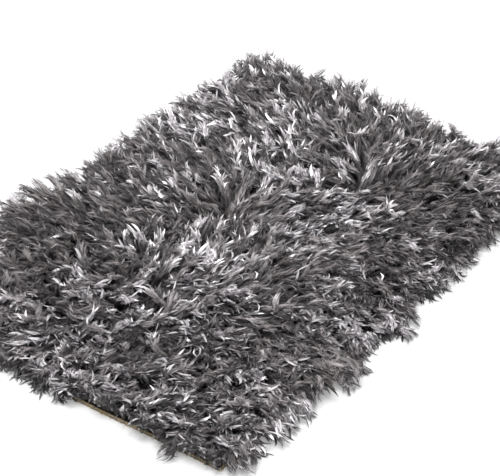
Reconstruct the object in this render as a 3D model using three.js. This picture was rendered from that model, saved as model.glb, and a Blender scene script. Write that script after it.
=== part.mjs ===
// A cut piece of broadloom carpet: a long shag pile tufted through a thin woven jute backing.
// Millimetres, +Z up. The origin is on the underside, at the middle of the piece.
// X runs across the roll (the short side) and Y runs down the roll (the long side).
import * as THREE from 'three';
import { mergeVertices } from 'three/addons/utils/BufferGeometryUtils.js';

// The piece as it is cut from the roll
const CUT_WIDTH = 457;
const CUT_LENGTH = 686;
const BACKING_THICKNESS = 4;
const CUT_WANDER = 1.2;          // how far the knife strays inside the straight line
const CUT_CORNER = 1.5;          // the small bevel that a knife leaves at each corner
const POINTS_PER_SIDE = 24;

// The pile as it lies: its height, and how far its yarns fall past the cut edges
const PILE_GAP = 0.3;            // between the backing's face and the foot of the pile
const PILE_HEIGHT = 34.5;        // mean height of the pile's face over the floor
const FALL_LONG_EDGES = 22;      // past the long edges, in X
const FALL_SHORT_EDGES = 12;     // past the short edges, in Y
const FALL_UNEVEN = 0.18;        // share of that fall that comes and goes along an edge
const CORNER_THINNING = 0.3;     // share of it that is missing at a corner
const LOCK_RELIEF = 3.2;         // how far the locks of yarn rise and sink in the face

// How the pile rolls over an edge, from its foot up to its face.
// out is a share of the fall past the edge, and up is a share of the pile's height.
const EDGE_ROLL = [
  { up: 0.00, out: -0.05 },
  { up: 0.07, out: 0.55 },
  { up: 0.20, out: 0.90 },
  { up: 0.42, out: 1.00 },
  { up: 0.66, out: 0.80 },
  { up: 0.87, out: 0.30 },
  { up: 1.00, out: -0.60 },
];

// Where the pile parts and its locks lean away from each other, leaving a hollow
const PARTINGS = [
  { x: -32, y: 8, reach: 48, depth: 6 },
  { x: 106, y: 94, reach: 36, depth: 5 },
  { x: 44, y: 172, reach: 32, depth: 4 },
  { x: 168, y: 30, reach: 34, depth: 4 },
  { x: 92, y: -216, reach: 40, depth: 5 },
  { x: -132, y: -108, reach: 38, depth: 5 },
  { x: -140, y: -242, reach: 34, depth: 5 },
];

// The grid that the pile's solid is worked on
const CELLS_ACROSS = 26;
const CELLS_ALONG = 38;
const EDGE_SHARPNESS = 12;       // how close to an edge the roll-over begins

const jute = new THREE.MeshStandardMaterial({ color: 0xb29a72, roughness: 0.95, metalness: 0 });
const greyYarn = new THREE.MeshStandardMaterial({ color: 0x6a6567, roughness: 0.8, metalness: 0 });

// How far one cut side lies inside the straight line: zero at both ends, never
// outside the line, and with its own run of waves on each side.
function knifeWander(along, side) {
  const slow = Math.sin(Math.PI * along) * Math.sin(5.3 * along + 1.7 * side);
  const quick = 0.4 * Math.sin(Math.PI * along) * Math.sin(31 * along + 2.3 * side);
  return CUT_WANDER * Math.min(1, Math.abs(slow + quick));
}

// The outline of the backing, walked once round, with each corner just bevelled.
function cutOutline() {
  const halfWidth = CUT_WIDTH / 2;
  const halfLength = CUT_LENGTH / 2;
  const sides = [
    { from: [-halfWidth, -halfLength], to: [halfWidth, -halfLength], inward: [0, 1] },
    { from: [halfWidth, -halfLength], to: [halfWidth, halfLength], inward: [-1, 0] },
    { from: [halfWidth, halfLength], to: [-halfWidth, halfLength], inward: [0, -1] },
    { from: [-halfWidth, halfLength], to: [-halfWidth, -halfLength], inward: [1, 0] },
  ];
  const outline = new THREE.Shape();
  sides.forEach(({ from, to, inward }, side) => {
    const length = Math.hypot(to[0] - from[0], to[1] - from[1]);
    const bevel = CUT_CORNER / length;
    for (let step = 0; step <= POINTS_PER_SIDE; step += 1) {
      const along = THREE.MathUtils.lerp(bevel, 1 - bevel, step / POINTS_PER_SIDE);
      const inside = knifeWander(along, side);
      const x = THREE.MathUtils.lerp(from[0], to[0], along) + inward[0] * inside;
      const y = THREE.MathUtils.lerp(from[1], to[1], along) + inward[1] * inside;
      if (side === 0 && step === 0) outline.moveTo(x, y);
      else outline.lineTo(x, y);
    }
  });
  outline.closePath();
  return outline;
}

// The backing: one flat sheet of woven jute, the knife's small strays in its cut edges.
function makeBacking() {
  const sheet = new THREE.ExtrudeGeometry(cutOutline(), {
    depth: BACKING_THICKNESS,
    bevelEnabled: false,
  });
  const mesh = new THREE.Mesh(sheet, jute);
  mesh.name = 'backing';
  return mesh;
}

// The height of the pile's face: soft swells where the locks lie over each other,
// and a bowl at each parting.
function faceHeight(x, y) {
  const sweep = 0.5 * Math.sin(x / 47 + 0.8) * Math.sin(y / 61 - 0.4);
  const swell = 0.3 * Math.sin(x / 23 - y / 37 + 1.1);
  const locks = 0.2 * Math.sin(x / 9.5 + 2.1) * Math.sin(y / 11.5 + 0.6);
  const parted = PARTINGS.reduce((sunk, parting) => {
    const away = Math.hypot(x - parting.x, y - parting.y) / parting.reach;
    return sunk + parting.depth * Math.exp(-away * away);
  }, 0);
  return PILE_HEIGHT + LOCK_RELIEF * (sweep + swell + locks) - parted;
}

// The share of the fall past an edge that is there at one place along it.
function fallShare(along, side) {
  const wave = Math.sin(Math.PI * along) * Math.sin(4.1 * Math.PI * along + side);
  return 1 - FALL_UNEVEN * wave * wave;
}

// Moves one point of the plain block to its place in the pile. across and along run
// from -1 to 1 over the piece, and level counts the rows of the roll-over table.
function pilePoint(across, along, level) {
  const { up, out } = EDGE_ROLL[level];
  const nearLongEdge = Math.sign(across) * Math.abs(across) ** EDGE_SHARPNESS;
  const nearShortEdge = Math.sign(along) * Math.abs(along) ** EDGE_SHARPNESS;
  const thinning = 1 - CORNER_THINNING * Math.abs(nearLongEdge * nearShortEdge);
  const fallX = FALL_LONG_EDGES * fallShare(along, 0.6) * thinning * out;
  const fallY = FALL_SHORT_EDGES * fallShare(across, 2.2) * thinning * out;
  const x = across * CUT_WIDTH / 2 + nearLongEdge * fallX;
  const y = along * CUT_LENGTH / 2 + nearShortEdge * fallY;
  const foot = BACKING_THICKNESS + PILE_GAP;
  return [x, y, THREE.MathUtils.lerp(foot, faceHeight(x, y), up)];
}

// The pile: one closed solid of the whole mass of yarn, flat where it grows from the
// backing, rolled over the cut edges and uneven on its face.
function makePile() {
  const levels = EDGE_ROLL.length - 1;
  const block = new THREE.BoxGeometry(2, 2, levels, CELLS_ACROSS, CELLS_ALONG, levels);
  block.deleteAttribute('normal');
  block.deleteAttribute('uv');
  const solid = mergeVertices(block);
  const points = solid.attributes.position;
  for (let index = 0; index < points.count; index += 1) {
    const level = Math.round(points.getZ(index) + levels / 2);
    points.setXYZ(index, ...pilePoint(points.getX(index), points.getY(index), level));
  }
  solid.computeVertexNormals();
  const mesh = new THREE.Mesh(solid, greyYarn);
  mesh.name = 'pile';
  return mesh;
}

const group = new THREE.Group();
group.add(makeBacking(), makePile());

export default group;
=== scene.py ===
import math

import bpy
import numpy as np
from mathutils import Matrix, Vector


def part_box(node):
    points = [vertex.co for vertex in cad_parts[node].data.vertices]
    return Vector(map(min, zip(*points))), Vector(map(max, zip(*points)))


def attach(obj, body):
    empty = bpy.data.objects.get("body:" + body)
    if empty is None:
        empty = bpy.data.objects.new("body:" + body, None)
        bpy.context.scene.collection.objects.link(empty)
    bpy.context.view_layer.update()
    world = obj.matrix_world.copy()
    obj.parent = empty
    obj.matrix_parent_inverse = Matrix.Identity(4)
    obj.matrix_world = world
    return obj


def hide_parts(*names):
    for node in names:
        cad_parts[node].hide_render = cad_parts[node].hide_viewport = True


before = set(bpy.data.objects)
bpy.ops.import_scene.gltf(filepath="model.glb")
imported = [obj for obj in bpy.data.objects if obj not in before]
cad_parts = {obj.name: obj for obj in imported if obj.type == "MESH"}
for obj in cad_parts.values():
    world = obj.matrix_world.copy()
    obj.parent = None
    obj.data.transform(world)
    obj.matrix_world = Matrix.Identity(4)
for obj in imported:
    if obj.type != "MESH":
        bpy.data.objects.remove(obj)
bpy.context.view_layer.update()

# ------------------------------------------------------------
# The camera looks down over the near corner of the piece, where the raw edge of the
# backing shows. It stands well back, so the four sides stay close to parallel.
# ------------------------------------------------------------
view_azimuth = math.radians(36.43)
view_elevation = math.radians(34.95)
view_distance = 2.772
view_target = Vector((-0.0055, 0.0278, 0.0))
back_to_camera = Vector((
    math.sin(view_azimuth) * math.cos(view_elevation),
    -math.cos(view_azimuth) * math.cos(view_elevation),
    math.sin(view_elevation),
))
camera_data = bpy.data.cameras.new("camera")
camera_data.sensor_width = 36.0
camera_data.lens = 162.2
camera_data.clip_end = 50.0
camera = bpy.data.objects.new("camera", camera_data)
camera.location = view_target + back_to_camera * view_distance
camera.rotation_euler = (-back_to_camera).to_track_quat("-Z", "Y").to_euler()
bpy.context.scene.collection.objects.link(camera)
bpy.context.scene.camera = camera
bpy.context.scene.view_settings.view_transform = "Standard"

# ------------------------------------------------------------
# The room is a white table under soft light from above and a little in front, with a
# plain white surround. The table shows white to the eye and keeps the soft shadow.
# ------------------------------------------------------------
surround_light = 0.42
white = (1.0, 1.0, 1.0, 1.0)
table_white = (0.9, 0.9, 0.9, 1.0)
table_lift = 0.25
table_reach = 8.0
window_strength = 1.95
window_softness = math.radians(36)
window_from = Vector((0.12, -0.30, 1.20))


def add_node(tree, kind, inputs=None, **settings):
    """A shader node. Each input named is given a value, or is fed from another node."""
    node = tree.nodes.new(kind)
    for setting, value in settings.items():
        setattr(node, setting, value)
    for socket, value in (inputs or {}).items():
        if isinstance(value, bpy.types.NodeSocket):
            tree.links.new(value, node.inputs[socket])
        else:
            node.inputs[socket].default_value = value
    return node


def seen_directly(tree):
    """1 for rays from the eye, in gloss or through glass, and 0 for light that lands."""
    path = add_node(tree, "ShaderNodeLightPath").outputs
    sight = path["Is Camera Ray"]
    for way_seen in ("Is Glossy Ray", "Is Transmission Ray"):
        either = add_node(tree, "ShaderNodeMath", {0: sight, 1: path[way_seen]}, operation="MAXIMUM")
        sight = either.outputs[0]
    return sight


surround = bpy.data.worlds.new("surround")
surround.use_nodes = True
bpy.context.scene.world = surround
world_tree = surround.node_tree
world_tree.nodes.clear()
soft_light = add_node(world_tree, "ShaderNodeBackground", {"Color": white, "Strength": surround_light})
white_wall = add_node(world_tree, "ShaderNodeBackground", {"Color": white, "Strength": 1.0})
lit_or_seen = add_node(
    world_tree,
    "ShaderNodeMixShader",
    {0: seen_directly(world_tree), 1: soft_light.outputs[0], 2: white_wall.outputs[0]},
)
add_node(world_tree, "ShaderNodeOutputWorld", {"Surface": lit_or_seen.outputs[0]})

window_data = bpy.data.lights.new("window", "SUN")
window_data.energy = window_strength
window_data.angle = window_softness
window = bpy.data.objects.new("window", window_data)
window.rotation_euler = window_from.to_track_quat("Z", "Y").to_euler()
bpy.context.scene.collection.objects.link(window)

table_paint = bpy.data.materials.new("table_paint")
table_paint.use_nodes = True
paint_tree = table_paint.node_tree
paint_tree.nodes.clear()
paint = add_node(paint_tree, "ShaderNodeBsdfDiffuse", {"Color": table_white})
lift = add_node(
    paint_tree,
    "ShaderNodeMath",
    {0: seen_directly(paint_tree), 1: table_lift},
    operation="MULTIPLY",
)
glow = add_node(paint_tree, "ShaderNodeEmission", {"Color": white, "Strength": lift.outputs[0]})
paint_and_glow = add_node(paint_tree, "ShaderNodeAddShader", {0: paint.outputs[0], 1: glow.outputs[0]})
add_node(paint_tree, "ShaderNodeOutputMaterial", {"Surface": paint_and_glow.outputs[0]})

table_mesh = bpy.data.meshes.new("table")
table_mesh.from_pydata(
    [(-table_reach, -table_reach, 0), (table_reach, -table_reach, 0),
     (table_reach, table_reach, 0), (-table_reach, table_reach, 0)],
    [],
    [(0, 1, 2, 3)],
)
table_mesh.materials.append(table_paint)
table = bpy.data.objects.new("table", table_mesh)
bpy.context.scene.collection.objects.link(table)

# ------------------------------------------------------------
# The yarn: soft grey low-twist locks, tufted in staggered rows through the backing. Each
# lock is a core of packed fibre with loose fibres round it, and it bends over with the
# lay of the pile. The piece was rolled and handled, so the lay turns from place to place.
# ------------------------------------------------------------
backing_low, backing_high = (np.array(corner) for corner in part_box("backing"))
half_piece = (backing_high - backing_low)[:2] / 2
yarn_foot = backing_high[2]

row_pitch = 0.0098
row_jitter = 0.0024
edge_pitch = 0.0056
edge_margin = 0.0036
near_edge_margin = 0.0062

lock_length = 0.0450
lock_length_spread = 0.0048
lock_radius = 0.0046
lock_wide = 1.15
lock_high = 0.80
bend_sharpness = 1.9
core_sides = 4
core_shares = np.array((0.0, 0.28, 0.56, 0.84))
core_girths = np.array((0.80, 0.62, 0.44, 0.0))

wisps_per_lock = 20
wisp_radius = 0.0003
wisp_spread_sideways = 0.0040
wisp_spread_upwards = 0.0026
bright_wisp_spread = 0.30
fibres_per_lock = 200
fibre_width = 0.00085
fibre_run = (0.12, 0.24)
loose_fibres = 0.18
pale_fibres = 0.17
# Fibres on top of a lock are painted paler and those under it darker: painted light and shade
painted_crest_light = 0.20

grid_step = 0.003
grid_reach = np.array((0.300, 0.420))
painted_shade_depth = 0.016

table_gap = 0.0012
jute_gap = 0.0008
press_height = 0.033
press_give = 0.0125
wrap_reach = 0.031
wrap_give = 0.0115
knife_flush = 0.70
ragged_edge = 0.50
tuft_run = 0.0030
tuft_swell = 0.0052

bands = 5
chance = np.random.default_rng(1180)

lay_blend = 0.016
parting_push = 0.35
parting_core = 0.012

# The lay of the pile. across and along run from -1 to 1 over the piece. heading is the
# way the tips point, in degrees from +X towards +Y. lie is 0 for upright and 1 for flat,
# and tousle is how far a lock strays from the heading, in degrees. Most of the places and
# many of the headings were listed by a program that measured the photo cell by cell.
LAY = np.array([
    # across, along, heading, lie, tousle
    (-0.95, 0.90, 138, 0.50, 16),
    (-0.85, 0.53, 190, 0.80, 12),
    (-0.65, 0.63, 226, 0.76, 12),
    (-0.44, 0.73, 168, 0.50, 20),
    (-0.23, 0.83, 145, 0.45, 24),
    (0.00, 0.93, 100, 0.36, 24),
    (-0.97, 0.08, 184, 0.80, 12),
    (-0.77, 0.18, 182, 0.74, 12),
    (-0.57, 0.28, 180, 0.66, 14),
    (-0.37, 0.37, 146, 0.50, 26),
    (-0.16, 0.47, 170, 0.50, 32),
    (0.04, 0.57, 234, 0.68, 18),
    (0.24, 0.67, 76, 0.50, 30),
    (0.44, 0.77, 54, 0.70, 18),
    (0.64, 0.87, 46, 0.76, 20),
    (0.95, 0.93, -30, 0.84, 18),
    (-0.98, -0.34, 196, 0.80, 12),
    (-0.88, -0.25, 208, 0.80, 14),
    (-0.69, -0.15, 202, 0.78, 14),
    (-0.49, -0.06, 223, 0.76, 14),
    (-0.30, 0.04, 204, 0.56, 28),
    (-0.10, 0.14, 48, 0.70, 16),
    (0.09, 0.23, 4, 0.80, 12),
    (0.29, 0.33, 12, 0.80, 16),
    (0.48, 0.42, 22, 0.76, 18),
    (0.68, 0.52, 2, 0.76, 20),
    (0.88, 0.62, -22, 0.96, 10),
    (-0.80, -0.56, 250, 0.85, 26),
    (-0.61, -0.46, 222, 0.75, 34),
    (-0.42, -0.37, 215, 0.55, 50),
    (-0.23, -0.28, 92, 0.48, 44),
    (-0.04, -0.18, 94, 0.56, 28),
    (0.15, -0.09, 112, 0.66, 20),
    (0.34, 0.00, 16, 0.86, 12),
    (0.53, 0.10, 6, 0.88, 12),
    (0.72, 0.19, -24, 0.88, 14),
    (0.92, 0.28, -12, 0.94, 10),
    (-0.95, -0.90, 240, 0.75, 30),
    (-0.54, -0.76, 264, 0.95, 34),
    (-0.35, -0.66, 315, 0.95, 34),
    (-0.17, -0.57, 300, 0.60, 50),
    (0.02, -0.48, 44, 0.65, 26),
    (0.20, -0.39, -34, 0.82, 14),
    (0.38, -0.30, 20, 0.84, 14),
    (0.57, -0.21, -16, 0.88, 12),
    (0.75, -0.12, -44, 0.92, 10),
    (0.94, -0.03, -20, 0.95, 10),
    (-0.29, -0.94, 295, 0.90, 30),
    (-0.11, -0.86, 275, 0.70, 46),
    (0.07, -0.77, 40, 0.60, 34),
    (0.25, -0.68, -20, 0.65, 34),
    (0.43, -0.59, -28, 0.82, 18),
    (0.61, -0.50, -30, 0.86, 12),
    (0.79, -0.41, -44, 0.92, 10),
    (0.97, -0.33, -18, 0.96, 10),
    (0.12, -0.98, 304, 0.80, 26),
    (0.29, -0.96, 308, 0.60, 34),
    (0.47, -0.87, 12, 0.65, 28),
    (0.64, -0.78, -56, 0.78, 20),
    (0.68, -0.98, 295, 0.70, 30),
    (0.85, -0.96, -40, 0.62, 40),
    (0.98, -0.87, -32, 0.84, 14),
    (0.82, -0.69, -48, 0.86, 14),
    (0.98, -0.61, -18, 0.92, 10),
])

# Where the pile parts: the locks lean away from the middle and leave a hollow, as wide
# as its reach in metres, and the locks round it are painted darker: painted shade in the hollow.
PARTINGS = np.array([
    # across, along, reach
    (-0.14, 0.02, 0.040),
    (0.46, 0.27, 0.030),
    (0.19, 0.50, 0.026),
    (0.74, 0.09, 0.028),
    (0.40, -0.63, 0.034),
    (-0.58, -0.31, 0.032),
    (-0.61, -0.71, 0.028),
])

# Drifts where the bright filament gathers, and where there is none. The same drifts paint
# light and shade into the tone of the grey yarn: paler where the lay of the pile catches the
# light, darker where it lies in shade. reach is the size of the drift, in metres, and most is
# how strong it is at its middle, less than 0 for a dark one. Many of the rows were rounded
# from a program's listing of the photo's tones, cell by cell.
TONE_DRIFTS = np.array([
    # across, along, reach, most
    (-0.92, 0.70, 0.024, 0.40),
    (-0.90, 0.41, 0.036, 0.55),
    (-0.72, 0.56, 0.030, 0.45),
    (-0.44, 0.66, 0.024, 0.55),
    (-0.12, 0.55, 0.024, 0.40),
    (0.12, 0.94, 0.020, 0.45),
    (-0.13, 0.34, 0.028, 0.55),
    (0.08, 0.40, 0.022, 0.50),
    (0.22, 0.26, 0.026, 0.55),
    (0.40, 0.32, 0.026, 0.45),
    (0.70, 0.96, 0.020, 0.45),
    (0.88, 0.80, 0.022, 0.40),
    (0.70, 0.82, 0.024, 0.40),
    (0.31, 0.19, 0.024, 0.40),
    (0.12, 0.10, 0.022, 0.35),
    (-0.06, -0.33, 0.024, 0.40),
    (0.96, 0.19, 0.026, 0.35),
    (0.97, -0.15, 0.026, 0.40),
    (0.66, -0.62, 0.020, 0.40),
    (-0.12, -0.17, 0.026, 0.50),
    (0.10, -0.27, 0.028, 0.55),
    (0.28, 0.03, 0.020, 0.40),
    (0.10, -0.50, 0.022, 0.40),
    (-0.25, -0.86, 0.026, 0.45),
    (0.04, -0.92, 0.022, 0.50),
    (0.28, -0.84, 0.022, 0.50),
    (0.54, -0.88, 0.026, 0.55),
    (0.92, -0.75, 0.034, 0.50),
    (0.74, -0.16, 0.028, 0.45),
    (0.44, -0.50, 0.020, 0.40),
    (-0.30, -0.55, 0.024, 0.45),
    (-0.46, -0.64, 0.016, 0.60),
    (-0.56, -0.78, 0.018, 0.45),
    (-0.12, -0.76, 0.024, 0.65),
    (-0.10, -0.98, 0.018, 0.50),
    (-0.16, 0.04, 0.026, -0.55),
    (0.36, 0.55, 0.026, -0.40),
    (0.60, 0.64, 0.026, -0.45),
    (0.82, 0.53, 0.030, -0.45),
    (-0.85, -0.50, 0.030, -0.45),
    (-0.62, -0.42, 0.030, -0.45),
    (-0.62, -0.64, 0.026, -0.55),
    (-0.78, -0.28, 0.034, -0.35),
    (-0.55, -0.18, 0.032, -0.40),
    (-0.33, -0.09, 0.028, -0.35),
    (-0.01, 0.85, 0.022, -0.35),
    (0.62, -0.36, 0.026, -0.35),
    (0.96, -0.46, 0.026, -0.40),
    (0.80, 0.06, 0.024, -0.45),
    (0.12, -0.68, 0.020, -0.50),
    (0.52, 0.15, 0.022, -0.35),
    (0.47, -0.73, 0.026, -0.40),
])
bright_base = 0.11
bright_gain = 1.15
# how strongly the drifts paint light and shade into the grey yarn
painted_lay_light_gain = 0.36

# How far the pile hangs over the near short edge, from 0, clear of it, to 1, hiding it
NEAR_EDGE_HANG = np.array([
    # across, hang
    (-1.00, 1.0),
    (0.02, 1.0),
    (0.12, 0.15),
    (0.24, 0.05),
    (0.47, 0.10),
    (0.51, 0.90),
    (0.55, 0.15),
    (0.62, 0.05),
    (0.68, 0.90),
    (0.76, 0.90),
    (0.81, 0.10),
    (0.90, 0.15),
    (1.00, 0.05),
])

# How much further the locks reach over each cut edge, as a share of their length, by the
# place on the edge from -1 to 1
REACH_OVER_RIGHT = np.array([
    # along, share
    (-1.00, 0.14),
    (-0.62, 0.14),
    (-0.52, -0.10),
    (-0.45, 0.35),
    (-0.35, 0.90),
    (-0.28, 0.10),
    (-0.22, -0.55),
    (-0.10, -0.55),
    (-0.06, 0.10),
    (0.03, 0.25),
    (0.07, -0.50),
    (0.12, -0.66),
    (0.22, -0.56),
    (0.28, -0.32),
    (0.47, -0.32),
    (0.60, -0.18),
    (1.00, -0.12),
])
REACH_OVER_LEFT = np.array([
    # along, share
    (-1.00, 0.05),
    (-0.42, 0.50),
    (-0.28, 0.80),
    (-0.16, 0.50),
    (-0.02, -0.10),
    (0.12, 0.00),
    (0.65, 0.00),
    (0.82, -0.22),
    (1.00, -0.15),
])
REACH_OVER_NEAR = np.array([
    # across, share
    (-1.00, -0.45),
    (-0.44, -0.74),
    (-0.28, -0.80),
    (-0.15, -0.80),
    (-0.06, -0.45),
    (0.02, -0.05),
    (1.00, 0.00),
])
REACH_OVER_FAR = np.array([
    # across, share
    (-1.00, 0.00),
    (-0.75, 0.34),
    (-0.40, 0.30),
    (-0.05, 0.18),
    (0.12, -0.08),
    (0.25, -0.12),
    (0.31, -0.52),
    (0.46, -0.50),
    (0.53, -0.05),
    (0.58, 0.05),
    (0.66, -0.40),
    (1.00, -0.40),
])

# Odd ends. Four locks were pulled out over the long edge and lie curled on the table, and
# a thin one stands up behind the far edge. Tilts are from upright, in degrees.
STRAYS = np.array([
    # across, along, heading, tilt at the foot, tilt at the tip, length, curl, girth
    (0.985, -0.03, -20, 70, 91, 0.058, 95, 1.0),
    (0.985, -0.06, -6, 72, 92, 0.060, 60, 1.0),
    (0.985, -0.09, 8, 70, 92, 0.062, -50, 1.0),
    (0.985, -0.05, -40, 72, 91, 0.056, 130, 1.0),
    (0.435, 0.985, 190, 1, 16, 0.052, 4, 0.35),
])


def drift(places, wave, turns):
    """Smooth swells over the piece, from about -1 to 1, each about as long as the wave."""
    total = np.zeros(len(places))
    for _ in range(turns):
        way = chance.uniform(0, 2 * math.pi)
        length = wave * chance.uniform(0.7, 1.5)
        phase = chance.uniform(0, 2 * math.pi)
        along_way = places[:, 0] * math.cos(way) + places[:, 1] * math.sin(way)
        total += np.sin(along_way * 2 * math.pi / length + phase)
    return total / math.sqrt(turns)


def lay_of_pile(places):
    """Heading, lie and tousle of the pile at each place, and how far it is in a hollow."""
    spots = LAY[:, :2] * half_piece
    away = np.hypot(*(places[:, None, :] - spots[None, :, :]).transpose(2, 0, 1))
    weight = 1 / (away ** 2 + lay_blend ** 2) ** 2
    weight /= weight.sum(1, keepdims=True)
    heading = np.radians(LAY[:, 2])
    lean = np.stack([weight @ np.cos(heading), weight @ np.sin(heading)], 1)
    lie = weight @ LAY[:, 3]
    tousle = np.radians(weight @ LAY[:, 4])
    hollow = np.zeros(len(places))
    for across, along, reach in PARTINGS:
        out = places - np.array((across, along)) * half_piece
        far = np.hypot(out[:, 0], out[:, 1])
        pull = np.exp(-(far / reach) ** 2)
        lean += parting_push * pull[:, None] * out / np.maximum(far, parting_core)[:, None]
        hollow = np.maximum(hollow, pull)
    return np.arctan2(lean[:, 1], lean[:, 0]), lie, tousle, hollow


def tufting_rows():
    """Where each lock comes through the backing."""
    reach = half_piece - edge_margin
    rows = int(round(2 * reach[1] / row_pitch)) + 1
    per_row = int(round(2 * reach[0] / row_pitch)) + 1
    spots = []
    for row in range(rows):
        y = -reach[1] + 2 * reach[1] * row / (rows - 1)
        stagger = 0.25 if row % 2 else -0.25
        for seat in range(per_row):
            x = -reach[0] + 2 * reach[0] * (seat + 0.5 + stagger) / per_row
            spots.append((x, y))
    round_edge = 8 * reach.sum() / 2
    for seat in range(int(round_edge / edge_pitch)):
        lap = 4 * seat * edge_pitch / round_edge
        run = 2 * (lap % 1) - 1
        inward = 1 - chance.uniform(0.0, 0.05)
        way = ((run, -inward), (inward, run), (-run, inward), (-inward, -run))[int(lap) % 4]
        spots.append(tuple(reach * np.array(way)))
    spots = np.array(spots)
    spots += chance.uniform(-row_jitter, row_jitter, spots.shape)
    return np.clip(spots, (-reach[0], near_edge_margin - half_piece[1]), reach)


def smooth_step(value):
    """0 up to 0 and 1 from 1 on, with a smooth rise between."""
    value = np.clip(value, 0, 1)
    return value * value * (3 - 2 * value)


def bend_by(where):
    """How far a lock has bent over, from 0 at its foot to 1 at its tip."""
    return 1 - (1 - np.minimum(where, 1)) ** bend_sharpness


def led_along(start, tilt, turn, stride):
    """Lines from each start, with a stride for each tilt from upright and turn from +X."""
    step = np.stack([np.sin(tilt) * np.cos(turn), np.sin(tilt) * np.sin(turn), np.cos(tilt)], 2)
    step *= stride[:, None, None]
    run = np.concatenate([np.zeros((len(start), 1, 3)), np.cumsum(step, 1)], 1)
    return start[:, None, :] + run


def bend_locks(roots, heading, upright, flat, length, curl, crimp, steps=20, past=1.08):
    """The centre line of each lock, to a little past its tip, and the share of the lock's
    length at each of its points."""
    share = np.linspace(0, past, steps + 1)
    middle = (share[1:] + share[:-1]) / 2
    swing, dip, turns, phase = (column[:, None] for column in crimp)
    wave = 2 * math.pi * turns * middle[None, :] + phase
    tilt = upright[:, None] + (flat - upright)[:, None] * bend_by(middle)[None, :]
    tilt += dip * np.sin(wave + 1.6)
    turn = heading[:, None] + curl[:, None] * (middle[None, :] - 0.25) + swing * np.sin(wave)
    feet = np.column_stack([roots, np.full(len(roots), yarn_foot)])
    return share, led_along(feet, tilt, turn, length * past / steps)


def pressed(reach, limit, give):
    """The longest reaches are held in, as the wrapping did: past the limit they give less."""
    over = np.maximum(np.abs(reach) - limit, 0)
    return np.sign(reach) * (np.minimum(np.abs(reach), limit) + give * np.tanh(over / give))


def clear_of_yarn(x):
    """How clear the near edge is, from 0 to 1: a few small tufts hang over it here and there."""
    tufts = 0.5 + 0.5 * np.sin(x / tuft_run + 2.2 * np.sin(x / tuft_swell))
    return (1 - np.interp(x / half_piece[0], *NEAR_EDGE_HANG.T)) * (1 - ragged_edge * tufts)


def keep_off_table(points):
    """Yarn that falls past the backing lies on the table, and the rest on the jute. Where the
    raw near edge shows, the knife took the yarn off flush with it."""
    outside = (np.abs(points[..., 0]) > half_piece[0]) | (np.abs(points[..., 1]) > half_piece[1])
    lowest = np.where(outside, table_gap, yarn_foot + jute_gap)
    past_near = np.maximum(-half_piece[1] - points[..., 1], 0)
    clear = clear_of_yarn(points[..., 0])
    lowest += (past_near > 0) * clear * yarn_foot
    points[..., 1] += knife_flush * clear * past_near
    points[..., 0] = pressed(points[..., 0], half_piece[0] + wrap_reach, wrap_give)
    points[..., 1] = pressed(points[..., 1], half_piece[1] + wrap_reach, wrap_give)
    points[..., 2] = np.maximum(pressed(points[..., 2], press_height, press_give), lowest)
    return points


def directions_across(way):
    """Two directions square to a line: a level one to its left, and one that leans up."""
    side = np.stack([-way[..., 1], way[..., 0], np.zeros_like(way[..., 0])], -1)
    side += np.array((1e-6, 0, 0))
    side /= np.linalg.norm(side, axis=-1, keepdims=True)
    return side, np.cross(side, way)


def along_lock(line, share, which, where):
    """Points, and two directions across the lock, at shares of its length."""
    cell = np.clip(where / share[-1] * (len(share) - 1), 0, len(share) - 1.001)
    low = cell.astype(int)
    part = (cell - low)[..., None]
    start = line[which[:, None], low]
    end = line[which[:, None], low + 1]
    point = start * (1 - part) + end * part
    way = end - start
    way /= np.linalg.norm(way, axis=-1, keepdims=True) + 1e-12
    side, top = directions_across(way)
    return point, side, top


def grid_cell(points):
    """Which cell of the height grid each point is over."""
    cell = ((points[..., :2] + grid_reach) / grid_step).astype(int)
    return cell[..., 0], cell[..., 1]


def top_of_pile(line):
    """Height of the pile round about each spot of a fine grid, with its dips and tufts
    smoothed away."""
    spots = keep_off_table(line[:, 4:].copy()).reshape(-1, 3)
    across, along = grid_cell(spots)
    top = np.zeros((int(2 * grid_reach[0] / grid_step), int(2 * grid_reach[1] / grid_step)))
    for aside_x in (-1, 0, 1):
        for aside_y in (-1, 0, 1):
            np.maximum.at(top, (across + aside_x, along + aside_y), spots[:, 2] + lock_radius / 2)
    covered = (top > 0).astype(float)
    for _ in range(3):
        for axis in (0, 1):
            top = sum(np.roll(top, shift, axis) for shift in range(-2, 3)) / 5
            covered = sum(np.roll(covered, shift, axis) for shift in range(-2, 3)) / 5
    return top / np.maximum(covered, 0.35)


def rise_in_pile(points, where):
    """How high each point lies, from 0 deep in the pile to 1 on top of it, and a little
    more towards the tip of its fibre. The yarn finishes paint shade by it: the lower a
    point lies, the darker it is painted."""
    below = pile_top[grid_cell(points)] - points[..., 2]
    return 0.02 + 0.80 * np.clip(0.75 - below / painted_shade_depth, 0, 1) + 0.15 * where


def lock_swell(where, taper):
    """How thick the lock is: drawn in at its foot, full in its middle and thin at its tip."""
    foot = 0.50 + 0.50 * smooth_step(where / 0.4)
    tip = 1 - (1 - taper) * smooth_step((where - 0.45) / 0.55)
    return foot * tip


def ribbon_corners(points, half_width):
    """Left and right edges of flat fibres, with a single point at each tip."""
    left = points - half_width
    right = points + half_width
    pairs = np.stack([left[:, :-1], right[:, :-1]], 2).reshape(len(points), -1, 3)
    return np.concatenate([pairs, points[:, -1:]], 1)


def ribbon_faces(count, steps):
    """Four-cornered faces and the pointed last face of each ribbon."""
    corners = 2 * (steps - 1) + 1
    first = np.arange(count)[:, None, None] * corners
    rung = np.arange(steps - 2)[None, :, None] * 2
    quads = (first + rung + np.array((0, 1, 3, 2))).reshape(-1, 4)
    last = 2 * (steps - 2)
    tris = (np.arange(count)[:, None] * corners + last + np.array((0, 1, 2))).reshape(-1, 3)
    return quads, tris


def ribbon_edges(count, steps):
    """A little to each side of a ribbon's shade, so that it has width on the bake map."""
    return np.tile(np.array([-0.004, 0.004] * (steps - 1) + [0.0]), count)


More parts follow.
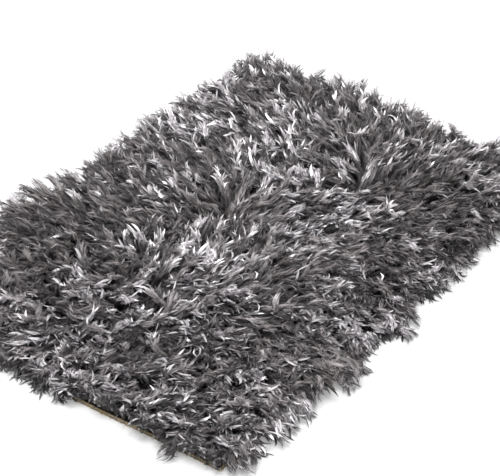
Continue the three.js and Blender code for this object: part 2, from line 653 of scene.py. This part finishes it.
def stub_faces(count, sides):
    """Faces of stubs, each with three rings of corners and then a point."""
    first = np.arange(count)[:, None] * (3 * sides + 1)
    quads = []
    for level in range(2):
        for turn in range(sides):
            a = level * sides + turn
            b = level * sides + (turn + 1) % sides
            quads.append(first + np.array((a, b, b + sides, a + sides)))
    tris = []
    for turn in range(sides):
        a = 2 * sides + turn
        b = 2 * sides + (turn + 1) % sides
        tris.append(first + np.array((a, b, 3 * sides)))
    return np.concatenate(quads), np.concatenate(tris)


def joined_mesh(name, parts, material):
    """One mesh from (points, quads, triangles, shade, edge, rise) parts. shade picks the
    tone of a fibre, with some painted light and shade in it, rise runs from deep down to
    the top and sets the painted shade, and the bake map holds the two."""
    points, quads, tris, shade, edge, rise = zip(*parts)
    firsts = np.cumsum([0] + [len(part) for part in points])
    quads = np.concatenate([faces + first for faces, first in zip(quads, firsts)])
    tris = np.concatenate([faces + first for faces, first in zip(tris, firsts)])
    points = np.concatenate(points).astype(np.float32)
    shade = np.clip(np.concatenate(shade), 0.02, 0.98)
    rise = np.clip(np.concatenate(rise), 0.01, 0.99)
    across_map = shade + np.concatenate(edge)
    corners = np.concatenate([quads.ravel(), tris.ravel()]).astype(np.int32)
    sizes = np.concatenate([np.full(len(quads), 4), np.full(len(tris), 3)]).astype(np.int32)
    starts = np.concatenate([[0], np.cumsum(sizes)[:-1]]).astype(np.int32)
    mesh = bpy.data.meshes.new(name)
    mesh.vertices.add(len(points))
    mesh.vertices.foreach_set("co", points.ravel())
    mesh.loops.add(len(corners))
    mesh.loops.foreach_set("vertex_index", corners)
    mesh.polygons.add(len(sizes))
    mesh.polygons.foreach_set("loop_start", starts)
    mesh.update(calc_edges=True)
    for label, values in (("shade", shade), ("rise", rise)):
        attribute = mesh.attributes.new(label, "FLOAT", "POINT")
        attribute.data.foreach_set("value", values.astype(np.float32))
    bake_map = mesh.uv_layers.new(name="OFBake")
    places = np.stack([across_map[corners], rise[corners]], 1).astype(np.float32)
    bake_map.data.foreach_set("uv", places.ravel())
    mesh.materials.append(material)
    piece = bpy.data.objects.new(name, mesh)
    bpy.context.scene.collection.objects.link(piece)
    return piece


def colour_ramp(tree, driver, stops):
    """The colour at each value of the driver, from (value, colour) stops in order. Two stops
    at one value are a step."""
    ramp = add_node(tree, "ShaderNodeValToRGB", {"Fac": driver})
    marks = ramp.color_ramp.elements
    while len(marks) < len(stops):
        marks.new(1.0)
    for index, (value, colour) in enumerate(stops):
        marks[index].position = value
        marks[index].color = (*colour, 1)
    return ramp.outputs["Color"]


def multiplied(tree, first, second):
    """Two colours multiplied together."""
    inputs = {"Factor": 1.0, "A": first, "B": second}
    product = add_node(tree, "ShaderNodeMix", inputs, data_type="RGBA", blend_type="MULTIPLY")
    return product.outputs["Result"]


def yarn_finish(name, tones, painted_depth_shade, roughness, gloss, fuzz, silver=0.0):
    """A yarn whose tone comes from its fibre, with painted shade: darker the deeper it lies
    in the pile, by its rise.
    """
    material = bpy.data.materials.new(name)
    material.use_nodes = True
    tree = material.node_tree
    surface = tree.nodes["Principled BSDF"].inputs
    surface["Roughness"].default_value = roughness
    surface["Specular IOR Level"].default_value = gloss
    surface["Sheen Weight"].default_value = fuzz
    surface["Sheen Roughness"].default_value = 0.5
    surface["Metallic"].default_value = silver
    shade = add_node(tree, "ShaderNodeAttribute", attribute_name="shade").outputs["Fac"]
    rise = add_node(tree, "ShaderNodeAttribute", attribute_name="rise").outputs["Fac"]
    painted_shade_greys = [(height, (grey, grey, grey)) for height, grey in painted_depth_shade]
    colour = multiplied(tree, colour_ramp(tree, shade, tones), colour_ramp(tree, rise, painted_shade_greys))
    tree.links.new(colour, surface["Base Color"])
    return material


grey_yarn = yarn_finish(
    "grey_yarn",
    [
        (0.00, (0.070, 0.053, 0.051)),
        (0.35, (0.392, 0.3687, 0.37615)),
        (0.35, (0.455, 0.392, 0.394)),
        (0.65, (0.920, 0.855, 0.868)),
    ],
    # painted shade: the yarn is darker the lower it lies in the pile
    [(0.0, 0.04), (0.35, 0.376), (0.35, 0.18), (0.65, 0.70)],
    roughness=0.5,
    gloss=0.4,
    fuzz=0.25,
)

# How the locks differ from the lay round them. Angles are in degrees, apart from the turn of
# the few rogue locks that point quite another way, which is in radians.
heading_swell = 9
heading_scatter = 1.3
rogue_locks = 0.12
rogue_turn = 0.9
lie_swell = 0.12
lie_scatter = 0.17
foot_tilts = (6, 30)
least_tip_tilt = 40
most_tip_tilt = 88
combed_tousle = 24
curl_scatter = 48
swing_scatter = 30
dip_scatter = 16

roots = tufting_rows()
locks = len(roots)
heading, lie, tousle, hollow = lay_of_pile(roots)
heading += np.radians(heading_swell) * drift(roots, 0.055, 6)
heading += heading_scatter * tousle * chance.normal(0, 1, locks)
rogue = chance.uniform(0, 1, locks) < rogue_locks
heading += rogue * chance.normal(0, rogue_turn, locks)
lie += lie_swell * drift(roots, 0.045, 6) + chance.normal(0, lie_scatter, locks)
lie = np.clip(lie + 0.08 * hollow - 0.2 * rogue, 0.1, 1.05)
upright = np.radians(chance.uniform(*foot_tilts, locks))
flat = np.radians(least_tip_tilt + (most_tip_tilt - least_tip_tilt) * lie)
length = chance.normal(lock_length, lock_length_spread, locks) * (1 - 0.10 * hollow)
combed = np.clip(tousle / math.radians(combed_tousle), 0.45, 1.7)
curl = np.radians(chance.normal(0, curl_scatter, locks)) * combed
crimp = (
    np.radians(chance.normal(0, swing_scatter, locks)) * combed,
    np.radians(chance.normal(0, dip_scatter, locks)),
    chance.uniform(0.7, 1.7, locks),
    chance.uniform(0, 2 * math.pi, locks),
)

# Near a cut edge nothing holds the locks up, so those that lean outwards fall over it. Those
# that the knife trimmed along the near edge stand up more and are shorter.
edge_reach = 0.034
fall_over_long = np.radians(54)
fall_over_short = np.radians(56)
right_droop = (0.45, 1.15)
left_droop = 0.05
far_hang = 0.30
trimmed_lift = np.radians(18)
trimmed_off = 0.22

way = np.stack([np.cos(heading), np.sin(heading)], 1)
near_long = smooth_step((np.abs(roots[:, 0]) - half_piece[0] + edge_reach) / edge_reach)
outward_x = np.clip(way[:, 0] * np.sign(roots[:, 0]), 0, 1)
near_short = smooth_step((np.abs(roots[:, 1]) - half_piece[1] + edge_reach) / edge_reach)
outward_y = np.clip(way[:, 1] * np.sign(roots[:, 1]), 0, 1)
hang = np.interp(roots[:, 0] / half_piece[0], *NEAR_EDGE_HANG.T)
hang = np.where(roots[:, 1] < 0, hang, far_hang)
droop = np.where(roots[:, 0] > 0, chance.uniform(*right_droop, locks), left_droop)
flat += fall_over_long * near_long * outward_x * droop
place_across, place_along = (roots / half_piece).T
over_long = np.where(
    place_across > 0,
    np.interp(place_along, *REACH_OVER_RIGHT.T),
    np.interp(place_along, *REACH_OVER_LEFT.T),
)
over_short = np.where(
    place_along > 0,
    np.interp(place_across, *REACH_OVER_FAR.T),
    np.interp(place_across, *REACH_OVER_NEAR.T),
)
length *= 1 + over_long * near_long * outward_x + over_short * near_short * outward_y
flat += fall_over_short * near_short * outward_y * hang
trimmed = near_short * outward_y * (1 - hang)
flat -= trimmed_lift * trimmed
length *= 1 - trimmed_off * trimmed
stray_girth = np.ones(locks)
for across, along, toward, foot_tilt, tip_tilt, reach, bend, girth in STRAYS:
    nearest = np.argmin(np.hypot(place_across - across, place_along - along))
    heading[nearest], upright[nearest] = np.radians((toward, foot_tilt))
    flat[nearest], curl[nearest] = np.radians((tip_tilt, bend))
    length[nearest], stray_girth[nearest] = reach, girth
share, line = bend_locks(roots, heading, upright, flat, length, curl, crimp)
pile_top = top_of_pile(line)

mid_tone = 0.525
tone_scatter = 0.18
hollow_painted_shade = 0.16
thin_dark = 0.6
lock_shade = mid_tone + 0.06 * drift(roots, 0.060, 5) + 0.17 * drift(roots, 0.024, 7)
# Locks in a parting are painted darker: painted shade in the hollow
lock_shade += chance.normal(0, tone_scatter, locks) - hollow_painted_shade * hollow
lock_shade -= thin_dark * (1 - stray_girth)
lock_thick = lock_radius * chance.uniform(0.75, 1.30, locks) * stray_girth
lock_taper = chance.uniform(0.45, 1.0, locks)

# Which needles carried the bright filament: it comes in drifts, with odd ends elsewhere.
# The same drifts paint light and shade into the grey yarn: paler where the pile catches
# the light, darker where it lies in shade
filament_and_lay_light = np.zeros(locks)
for across, along, reach, most in TONE_DRIFTS:
    away = np.hypot(*(roots - np.array((across, along)) * half_piece).T)
    filament_and_lay_light += most * np.exp(-(away / reach) ** 2)
bright = np.clip(bright_base + bright_gain * filament_and_lay_light, 0.01, 0.75)
# painted light and shade: the grey yarn is paler or darker by the drifts
lock_shade += painted_lay_light_gain * np.clip(filament_and_lay_light, -0.6, 0.6)
draw = chance.uniform(0, 1, locks)
all_bright = draw < bright
some_bright = (draw >= bright) & (draw < 2.2 * bright + 0.10)


def core_part(which, shade_of_core):
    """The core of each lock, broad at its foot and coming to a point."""
    where = np.tile(core_shares, (len(which), 1))
    point, side, top = along_lock(line, share, which, where)
    thick = (lock_thick[which][:, None] * core_girths)[..., None]
    ring = []
    for turn in range(core_sides):
        angle = math.pi / 4 + turn * 2 * math.pi / core_sides
        ring.append(point + thick * (lock_wide * math.cos(angle) * side + 0.95 * math.sin(angle) * top))
    rings = np.stack(ring, 2)[:, :3].reshape(len(which), 3 * core_sides, 3)
    foot_ring = rings[:, :core_sides, :2]
    rings[:, :core_sides, :2] = np.clip(foot_ring, -half_piece, half_piece)
    corners = keep_off_table(np.concatenate([rings, point[:, 3:]], 1))
    quads, tris = stub_faces(len(which), core_sides)
    shade = np.repeat(shade_of_core, 3 * core_sides + 1)
    edge = np.tile(np.append(np.tile((-0.006, -0.002, 0.002, 0.006), 3), 0.0), len(which))
    corner_shares = np.repeat(core_shares, (core_sides, core_sides, core_sides, 1))
    rise = rise_in_pile(corners, corner_shares).ravel()
    return corners.reshape(-1, 3), quads, tris, shade, edge, rise


def fibre_part(host, tone, width, upturned=0.0):
    """The fibres of each lock, bunched in wisps that wander out of it. Each is flat, broad
    where it starts and pointed at its tip, and faces outwards from the lock, or up."""
    count = len(host)
    wisp = host * wisps_per_lock + chance.integers(0, wisps_per_lock, count)
    leave, span, around, out, swing, turns, phase = wisp_shape[:, wisp, None]
    reach = chance.uniform(*fibre_run, (count, 1))
    begin = leave + chance.uniform(0, 1, (count, 1)) * np.maximum(span - reach, 0.01)
    where = np.concatenate([begin, np.minimum(begin + reach, 1.06)], 1)
    point, side, top = along_lock(line, share, host, where)
    thick = lock_thick[host][:, None] * lock_swell(where, lock_taper[host][:, None])
    gone = np.clip((where - leave) / span, 0, 1)
    wave = swing * np.sin(phase + gone * turns)
    sideways, upwards = wisp_lean[:, wisp, None] * gone ** 1.5
    loose = 1 + (chance.uniform(0, 1, count) < loose_fibres) * chance.uniform(1.5, 6.0, count)
    scatter = wisp_radius * (1.2 - 0.2 * gone)
    scatter[:, 1] += 0.8 * wisp_radius * loose
    aside = lock_wide * np.cos(around) * out * thick + wave + wisp_spread_sideways * sideways
    above = lock_high * np.sin(around) * out * thick + wave * 0.5 + wisp_spread_upwards * upwards
    aside += chance.normal(0, 1, (count, 1)) * scatter
    above += chance.normal(0, 1, (count, 1)) * scatter
    points = point + aside[..., None] * side + above[..., None] * top
    roll = around[:, 0] + upturned * (math.pi / 2 - around[:, 0]) + chance.normal(0, 0.6, count)
    across = -np.sin(roll)[:, None] * side[:, 0] + np.cos(roll)[:, None] * top[:, 0]
    half_width = width[:, None, None] / 2 * np.stack([across, 0 * across], 1)
    corners = keep_off_table(ribbon_corners(points, half_width))
    quads, tris = ribbon_faces(count, 2)
    # painted light and shade: fibres on top of the lock paler, those under it darker
    shade = np.repeat(tone + wisp_tone[wisp] + painted_crest_light * (np.sin(around) * out)[:, 0], 3)
    rise = rise_in_pile(keep_off_table(points), where)[:, (0, 0, 1)].ravel()
    return corners.reshape(-1, 3), quads, tris, shade, ribbon_edges(count, 2), rise


# The wisps: where each leaves its lock and how long it runs, as shares of the lock, which
# side of the lock it is on, how far out, and how it waves. Those of bright locks stay close.
wisps = locks * wisps_per_lock
wisp_shape = np.stack([
    chance.uniform(0.0, 0.72, wisps),
    chance.uniform(0.20, 0.42, wisps),
    math.pi / 2 + chance.normal(0, 1.3, wisps),
    np.sqrt(chance.uniform(0.15, 1.0, wisps)),
    chance.uniform(0.0003, 0.0018, wisps),
    chance.uniform(2.0, 7.0, wisps),
    chance.uniform(0, 2 * math.pi, wisps),
])
lock_spread = stray_girth * np.where(all_bright, bright_wisp_spread, 1.0)
wisp_lean = chance.normal(0, 1, (2, wisps)) * np.repeat(lock_spread, wisps_per_lock)
wisp_tone = chance.normal(0, 0.22, wisps) + 0.35 * (chance.uniform(0, 1, wisps) < 0.12)

band_of_lock = np.clip(((roots[:, 1] / half_piece[1] + 1) / 2 * bands).astype(int), 0, bands - 1)
for band in range(bands):
    which = np.flatnonzero((band_of_lock == band) & ~all_bright)
    host = np.repeat(which, fibres_per_lock)
    tone = lock_shade[host] + chance.normal(0, 0.14, len(host))
    pale = chance.uniform(0, 1, len(host)) < pale_fibres
    tone = np.where(pale, chance.uniform(0.60, 0.98, len(host)), tone)
    width = fibre_width * chance.uniform(0.45, 1.35, len(host))
    # Each core is painted 0.20 darker than its lock: painted shade inside the lock
    parts = [core_part(which, lock_shade[which] - 0.20), fibre_part(host, tone, width)]
    piece = joined_mesh(f"yarn_band_{band + 1}", parts, grey_yarn)
    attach(piece, "root")
    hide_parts("pile")

# ------------------------------------------------------------
# The bright filament: flat silvery strands tufted in with the grey yarn. Most are a few
# to a lock, and in drifts whole locks are made of them. They are stiffer than the yarn,
# so they bow and hook out of it.
# ------------------------------------------------------------
bright_fibres_per_lock = 170
bright_fibre_width = 0.00175
# The bright cores are darker than their fibres: painted shade inside the lock
bright_core_painted_shade = 0.30
strand_points = 5
strand_width = 0.0024
strand_girths = np.array((0.6, 1.0, 1.0, 0.8, 0.0))
strand_lengths = (0.010, 0.024)
strand_lift = math.radians(6)
hooked_strands = 0.14

lustre_yarn = yarn_finish(
    "lustre_yarn",
    [
        (0.0, (0.56, 0.536, 0.556)),
        (0.5, (0.74, 0.718, 0.7355)),
        (0.5, (0.83, 0.80, 0.825)),
    ],
    # painted shade: the yarn is darker the lower it lies in the pile
    [(0.0, 0.15), (0.35, 0.4475), (0.35, 0.80), (0.6, 1.0)],
    roughness=0.40,
    gloss=0.6,
    fuzz=0.1,
    silver=0.60,
)
which = np.flatnonzero(all_bright)
host = np.repeat(which, bright_fibres_per_lock)
tone = chance.uniform(0.32, 0.96, len(host))
width = bright_fibre_width * chance.uniform(0.5, 1.3, len(host))
cores = core_part(which, np.full(len(which), bright_core_painted_shade))
parts = [cores, fibre_part(host, tone, width, upturned=0.7)]
bright_locks = joined_mesh("bright_locks", parts, lustre_yarn)
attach(bright_locks, "root")
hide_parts("pile")

strands_in = all_bright * chance.integers(7, 15, locks) + some_bright * chance.integers(3, 11, locks)
host = np.repeat(np.arange(locks), strands_in)
count = len(host)
leave = chance.uniform(0.32, 0.80, count)
point, side, top = along_lock(line, share, host, leave[:, None])
across_lock = chance.normal(0, 0.5, count)[:, None]
rise = chance.uniform(0.8, 1.5, count)[:, None]
start = point[:, 0] + lock_thick[host][:, None] * (across_lock * side[:, 0] + rise * top[:, 0])
family = chance.normal(0, 0.22, locks)[host]
strand_heading = heading[host] + family + chance.normal(0, 0.32, count)
strand_tilt = upright[host] + (flat[host] - upright[host]) * bend_by(leave) - strand_lift
strand_tilt += chance.normal(0, 0.16, count)
bow = chance.normal(0.5, 0.45, count)
hook = chance.normal(0, 0.6, count)
hook += (chance.uniform(0, 1, count) < hooked_strands) * chance.normal(0, 2.6, count)
strand_length = chance.uniform(*strand_lengths, count)
steps = np.linspace(0, 1, strand_points)
middle = (steps[1:] + steps[:-1]) / 2
tilt = np.clip(strand_tilt[:, None] + bow[:, None] * middle, 0.05, 2.0)
turn = strand_heading[:, None] + hook[:, None] * middle ** 1.5
strand_line = led_along(start, tilt, turn, strand_length / (strand_points - 1))
course = np.gradient(strand_line, axis=1)
course /= np.linalg.norm(course, axis=-1, keepdims=True)
level_side, level_top = directions_across(course)
roll = chance.normal(0, 0.4, count)[:, None] + chance.normal(0, 0.6, count)[:, None] * steps
strand_across = np.cos(roll)[..., None] * level_side + np.sin(roll)[..., None] * level_top
strand_half = strand_width * chance.uniform(0.6, 1.5, count)[:, None] / 2 * strand_girths
strand_corners = keep_off_table(ribbon_corners(strand_line, strand_across * strand_half[..., None]))
quads, tris = ribbon_faces(count, strand_points)
tone = chance.uniform(0.30, 0.94, count)
shade = np.repeat(tone, strand_corners.shape[1])
edge = ribbon_edges(count, strand_points)
height = rise_in_pile(keep_off_table(strand_line.copy()), steps)
rise = np.concatenate([np.repeat(height[:, :-1], 2, 1), height[:, -1:]], 1).ravel()
bright_strands = joined_mesh(
    "bright_strands",
    [(strand_corners.reshape(-1, 3), quads, tris, shade, edge, rise)],
    lustre_yarn,
)
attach(bright_strands, "root")

# ------------------------------------------------------------
# The backing: plain-woven jute, glued over the feet of the yarn with a skin of pale latex
# between, then cut to size with a knife. The cut edge isn't bound, so it strays a little
# and shows the layers, the ends of the jute threads and the odd loose hair.
# ------------------------------------------------------------
backing_thick = yarn_foot
thread_pitch = 0.0032
knife_wander = 0.0012
cut_step = 0.0020

# The heights where the latex skin starts and ends, and where the top face starts, which is
# painted dark: painted shade under the pile, and the fluff round the feet of the yarn
latex_low = (0.0012, 0.0014)
latex_high = (0.0020, 0.0023)
latex_cream = (0.50, 0.46, 0.38, 1)
fluff_and_shade_band = (0.0038, 0.0040)
fluff_and_shade_dark = (0.032, 0.027, 0.026, 1)
layer_heights = (0.0, 0.0003, *latex_low, *latex_high, 0.0036, backing_thick)
layer_insets = (0.0005, 0.0000, 0.0002, 0.0010, 0.0013, 0.0010, 0.0014, 0.0020)


def cut_line():
    """Points round the cut edge, anticlockwise, with the way out of the piece at each."""
    corners = np.array([(-1, -1), (1, -1), (1, 1), (-1, 1)]) * half_piece
    points = []
    outs = []
    for side_number in range(4):
        start = corners[side_number]
        end = corners[(side_number + 1) % 4]
        side_length = np.hypot(*(end - start))
        way_along = (end - start) / side_length
        way_out = np.array((way_along[1], -way_along[0]))
        steps = int(side_length / cut_step)
        part = np.arange(steps) / steps
        slow = np.sin(math.pi * part) * np.sin(5.3 * part + 1.7 * side_number)
        quick = 0.4 * np.sin(math.pi * part) * np.sin(31 * part + 2.3 * side_number)
        stray = knife_wander * np.minimum(1, np.abs(slow + quick))
        points.append(start + part[:, None] * (end - start) - stray[:, None] * way_out)
        outs.append(np.tile(way_out, (steps, 1)))
    return np.concatenate(points), np.concatenate(outs)


cut_points, cut_outs = cut_line()
rings = []
for height, inset in zip(layer_heights, layer_insets):
    ring = np.zeros((len(cut_points), 3))
    ring[:, :2] = cut_points - inset * cut_outs
    ring[:, 2] = height
    rings.append(ring)
backing_mesh = bpy.data.meshes.new("jute_backing")
ring_size = len(cut_points)
backing_faces = [tuple(range(ring_size - 1, -1, -1))]
for level in range(len(rings) - 1):
    for spot in range(ring_size):
        after = (spot + 1) % ring_size
        backing_faces.append((
            level * ring_size + spot,
            level * ring_size + after,
            (level + 1) * ring_size + after,
            (level + 1) * ring_size + spot,
        ))
backing_faces.append(tuple(range((len(rings) - 1) * ring_size, len(rings) * ring_size)))
backing_mesh.from_pydata(np.concatenate(rings).tolist(), [], backing_faces)

jute = bpy.data.materials.new("jute_backing")
jute.use_nodes = True
jute_tree = jute.node_tree
jute_surface = jute_tree.nodes["Principled BSDF"].inputs
jute_surface["Roughness"].default_value = 0.85
jute_surface["Specular IOR Level"].default_value = 0.2
place = add_node(jute_tree, "ShaderNodeTexCoord").outputs["Object"]
height_up = add_node(jute_tree, "ShaderNodeSeparateXYZ", {"Vector": place}).outputs["Z"]


def jute_threads(direction):
    """Round threads that run one way, as a height from 0 between them to 1 on top."""
    threads = add_node(
        jute_tree,
        "ShaderNodeTexWave",
        {
            "Vector": place,
            "Scale": 2 * math.pi / 20 / thread_pitch,
            "Distortion": 0.6,
            "Detail": 1.0,
            "Detail Scale": 0.6,
        },
        wave_type="BANDS",
        bands_direction=direction,
        wave_profile="SIN",
    )
    return threads.outputs["Fac"]


def by_height(low, high, below=0.0, above=1.0):
    """A value that turns from one number to another between two heights in the backing."""
    inputs = {"Value": height_up, "From Min": low, "From Max": high, "To Min": below, "To Max": above}
    return add_node(jute_tree, "ShaderNodeMapRange", inputs).outputs["Result"]


def covered_by(colour, under, share):
    """A colour laid over what is under it, as thickly as the share says."""
    inputs = {"Factor": share, "A": under, "B": colour}
    return add_node(jute_tree, "ShaderNodeMix", inputs, data_type="RGBA").outputs["Result"]


over_under = add_node(
    jute_tree,
    "ShaderNodeTexChecker",
    {"Vector": place, "Scale": 1 / thread_pitch, "Color1": (1, 1, 1, 1), "Color2": (0, 0, 0, 1)},
)
warp_and_weft = {"Factor": over_under.outputs["Fac"], "A": jute_threads("X"), "B": jute_threads("Y")}
weave = add_node(jute_tree, "ShaderNodeMix", warp_and_weft, data_type="FLOAT").outputs["Result"]
grain_inputs = {"Vector": place, "Scale": 420.0, "Detail": 3.0}
fibre_grain = add_node(jute_tree, "ShaderNodeTexNoise", grain_inputs).outputs["Fac"]
# The jute is painted darker down between its threads than on top of them: painted shade in the hollows
# of the weave. The grain of its fibres mottles it over that.
jute_colour = multiplied(
    jute_tree,
    colour_ramp(jute_tree, weave, [(0.15, (0.200, 0.145, 0.085)), (0.85, (0.62, 0.49, 0.31))]),
    colour_ramp(jute_tree, fibre_grain, [(0.30, (0.55, 0.52, 0.48)), (0.70, (1.0, 1.0, 1.0))]),
)
latex_only = add_node(
    jute_tree,
    "ShaderNodeMath",
    {0: by_height(*latex_low), 1: by_height(*latex_high, 1.0, 0.0)},
    operation="MULTIPLY",
)
layered = covered_by(latex_cream, jute_colour, latex_only.outputs[0])
# The top face is painted dark: painted shade under the pile, and the fluff round the yarn feet
fluffed_and_shaded = covered_by(fluff_and_shade_dark, layered, by_height(*fluff_and_shade_band))
jute_tree.links.new(fluffed_and_shaded, jute_surface["Base Color"])
relief = add_node(jute_tree, "ShaderNodeBump", {"Strength": 0.8, "Distance": 0.0006, "Height": weave})
jute_tree.links.new(relief.outputs["Normal"], jute_surface["Normal"])
backing_mesh.materials.append(jute)
jute_sheet = bpy.data.objects.new("jute_backing", backing_mesh)
bpy.context.scene.collection.objects.link(jute_sheet)
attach(jute_sheet, "root")
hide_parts("backing")

# ------------------------------------------------------------
# The thread ends: jute that the knife cut through, in two layers that stick out a little
# all round, with the grey feet of the yarn between them and loose jute hairs.
# ------------------------------------------------------------
end_radius = 0.00075
foot_radius = 0.0006
end_sides = 5
end_root = 0.0012
end_point = 0.0002
hair_lowest = 0.0003
thread_lowest = 0.0006
thread_highest = 0.0036
hair_count = 420
hair_width = 0.00028
hair_points = 5
hair_girths = np.array((1.0, 1.0, 0.9, 0.7, 0.0))

round_cut = np.diff(cut_points, axis=0, append=cut_points[:1])
cut_length = np.append(0, np.cumsum(np.hypot(*round_cut.T)))


def on_cut(distance):
    """Points on the cut edge, and the way out, at distances round it."""
    lap = distance % cut_length[-1]
    x = np.interp(lap, cut_length, np.append(cut_points[:, 0], cut_points[0, 0]))
    y = np.interp(lap, cut_length, np.append(cut_points[:, 1], cut_points[0, 1]))
    nearest = np.minimum(np.searchsorted(cut_length, lap, side="right") - 1, len(cut_points) - 1)
    return np.stack([x, y], 1), cut_outs[nearest]


def thread_ends(pitch, height, inset, reach, radius, tones):
    """A row of cut thread ends: short stubs that start inside the backing and poke out."""
    count = int(cut_length[-1] / pitch)
    distance = (np.arange(count) + chance.uniform(-0.3, 0.3, count)) * pitch
    foot, out = on_cut(distance)
    foot = foot - inset * out
    along_cut = np.stack([-out[:, 1], out[:, 0]], 1)
    lean = chance.normal(0, 0.35, count)
    poke = chance.uniform(0.2, 1.0, count) ** 2 * reach
    z = height + chance.normal(0, 0.00018, count)
    droop = chance.uniform(-0.0002, 0.0008, count)
    rings = []
    for part, wide in ((0.0, 1.0), (0.35, 1.0), (1.0, 0.55)):
        run = part * poke if part else np.full(count, -end_root)
        middle = np.zeros((count, 3))
        middle[:, :2] = foot + out * run[:, None] + along_cut * (part * lean * poke)[:, None]
        middle[:, 2] = np.maximum(z - droop * part, thread_lowest)
        for turn in range(end_sides):
            angle = 2 * math.pi * turn / end_sides
            corner = middle.copy()
            corner[:, :2] += along_cut * radius * wide * math.cos(angle)
            corner[:, 2] += 0.8 * radius * wide * math.sin(angle)
            rings.append(corner)
    tip = middle.copy()
    tip[:, :2] += out * end_point
    corners = np.stack([*rings, tip], 1)
    corners[..., 2] = np.maximum(corners[..., 2], end_point / 2)
    quads, tris = stub_faces(count, end_sides)
    patch = 0.14 * np.sin(distance / 0.0047 + 2 * np.sin(distance / 0.0110))
    tone = chance.choice(tones, count) + patch + chance.normal(0, 0.04, count)
    shade = np.repeat(tone, corners.shape[1])
    edge = np.tile(np.append(np.tile(np.linspace(-0.006, 0.006, end_sides), 3), 0.0), count)
    # along runs from the foot of a stub to its tip; the finish paints shade by it, darker at the foot
    along = np.tile(np.repeat((0.05, 0.5, 0.9, 0.98), (end_sides, end_sides, end_sides, 1)), count)
    return corners.reshape(-1, 3), quads, tris, shade, edge, along


def loose_hairs():
    """Fine jute hairs that curl out of the cut edge."""
    foot, out = on_cut(chance.uniform(0, cut_length[-1], hair_count))
    turn = np.arctan2(out[:, 1], out[:, 0]) + chance.normal(0, 0.8, hair_count)
    rise = chance.normal(0.05, 0.35, hair_count)
    hair_length = chance.uniform(0.003, 0.012, hair_count)
    curl_round = chance.normal(0, 1.4, hair_count)
    sag = chance.uniform(0.1, 1.2, hair_count)
    steps = np.linspace(0, 1, hair_points)
    middle = (steps[1:] + steps[:-1]) / 2
    angle = turn[:, None] + curl_round[:, None] * middle
    tilt = rise[:, None] - sag[:, None] * middle
    height = chance.uniform(thread_lowest, thread_highest, hair_count)
    start = np.column_stack([foot - end_root / 2 * out, height])
    points = led_along(start, math.pi / 2 - tilt, angle, hair_length / (hair_points - 1))
    points[..., 2] = np.maximum(points[..., 2], hair_lowest)
    across = np.stack([-np.sin(turn), np.cos(turn), chance.normal(0, 0.5, hair_count)], 1)
    across /= np.linalg.norm(across, axis=1, keepdims=True)
    half_width = hair_width / 2 * hair_girths
    corners = ribbon_corners(points, across[:, None, :] * half_width[None, :, None])
    corners[..., 2] = np.maximum(corners[..., 2], end_point)
    quads, tris = ribbon_faces(hair_count, hair_points)
    shade = np.repeat(chance.uniform(0.45, 0.95, hair_count), corners.shape[1])
    edge = ribbon_edges(hair_count, hair_points)
    # along runs from the root of a hair to its tip; the finish paints shade by it, darker at the root
    along = np.tile(np.concatenate([np.repeat(steps[:-1], 2), steps[-1:]]), hair_count)
    return corners.reshape(-1, 3), quads, tris, shade, edge, along


# Tones of the ends, on the ramp below: brown, tan and golden jute, and dark yarn feet with
# the odd golden thread among them
jute_tones = np.array((0.40, 0.50, 0.56, 0.60, 0.66, 0.74, 0.80, 0.97))
feet_tones = np.array((0.05, 0.12, 0.16, 0.95))
cut_thread = yarn_finish(
    "cut_thread",
    [
        (0.00, (0.030, 0.026, 0.026)),
        (0.15, (0.1605, 0.1526, 0.1421)),
        (0.15, (0.060, 0.050, 0.045)),
        (0.35, (0.36, 0.29, 0.21)),
        (0.60, (0.70, 0.61, 0.47)),
        (0.78, (0.82, 0.66, 0.35)),
    ],
    # painted shade: the thread ends and hairs are darker towards their feet
    [(0.0, 0.5), (0.5, 0.75), (0.5, 0.9)],
    roughness=0.8,
    gloss=0.25,
    fuzz=0.15,
)
END_ROWS = (
    # pitch, height, inset, reach, radius, tones
    (thread_pitch / 2, 0.00085, 0.0000, 0.0016, end_radius, jute_tones),
    (thread_pitch / 2, 0.00310, 0.0010, 0.0018, end_radius, jute_tones),
    (row_pitch / 2, 0.00195, 0.0006, 0.0012, foot_radius, feet_tones),
)
edge_parts = [thread_ends(*row) for row in END_ROWS]
edge_parts.append(loose_hairs())
cut_edge = joined_mesh("cut_edge_threads", edge_parts, cut_thread)
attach(cut_edge, "root")
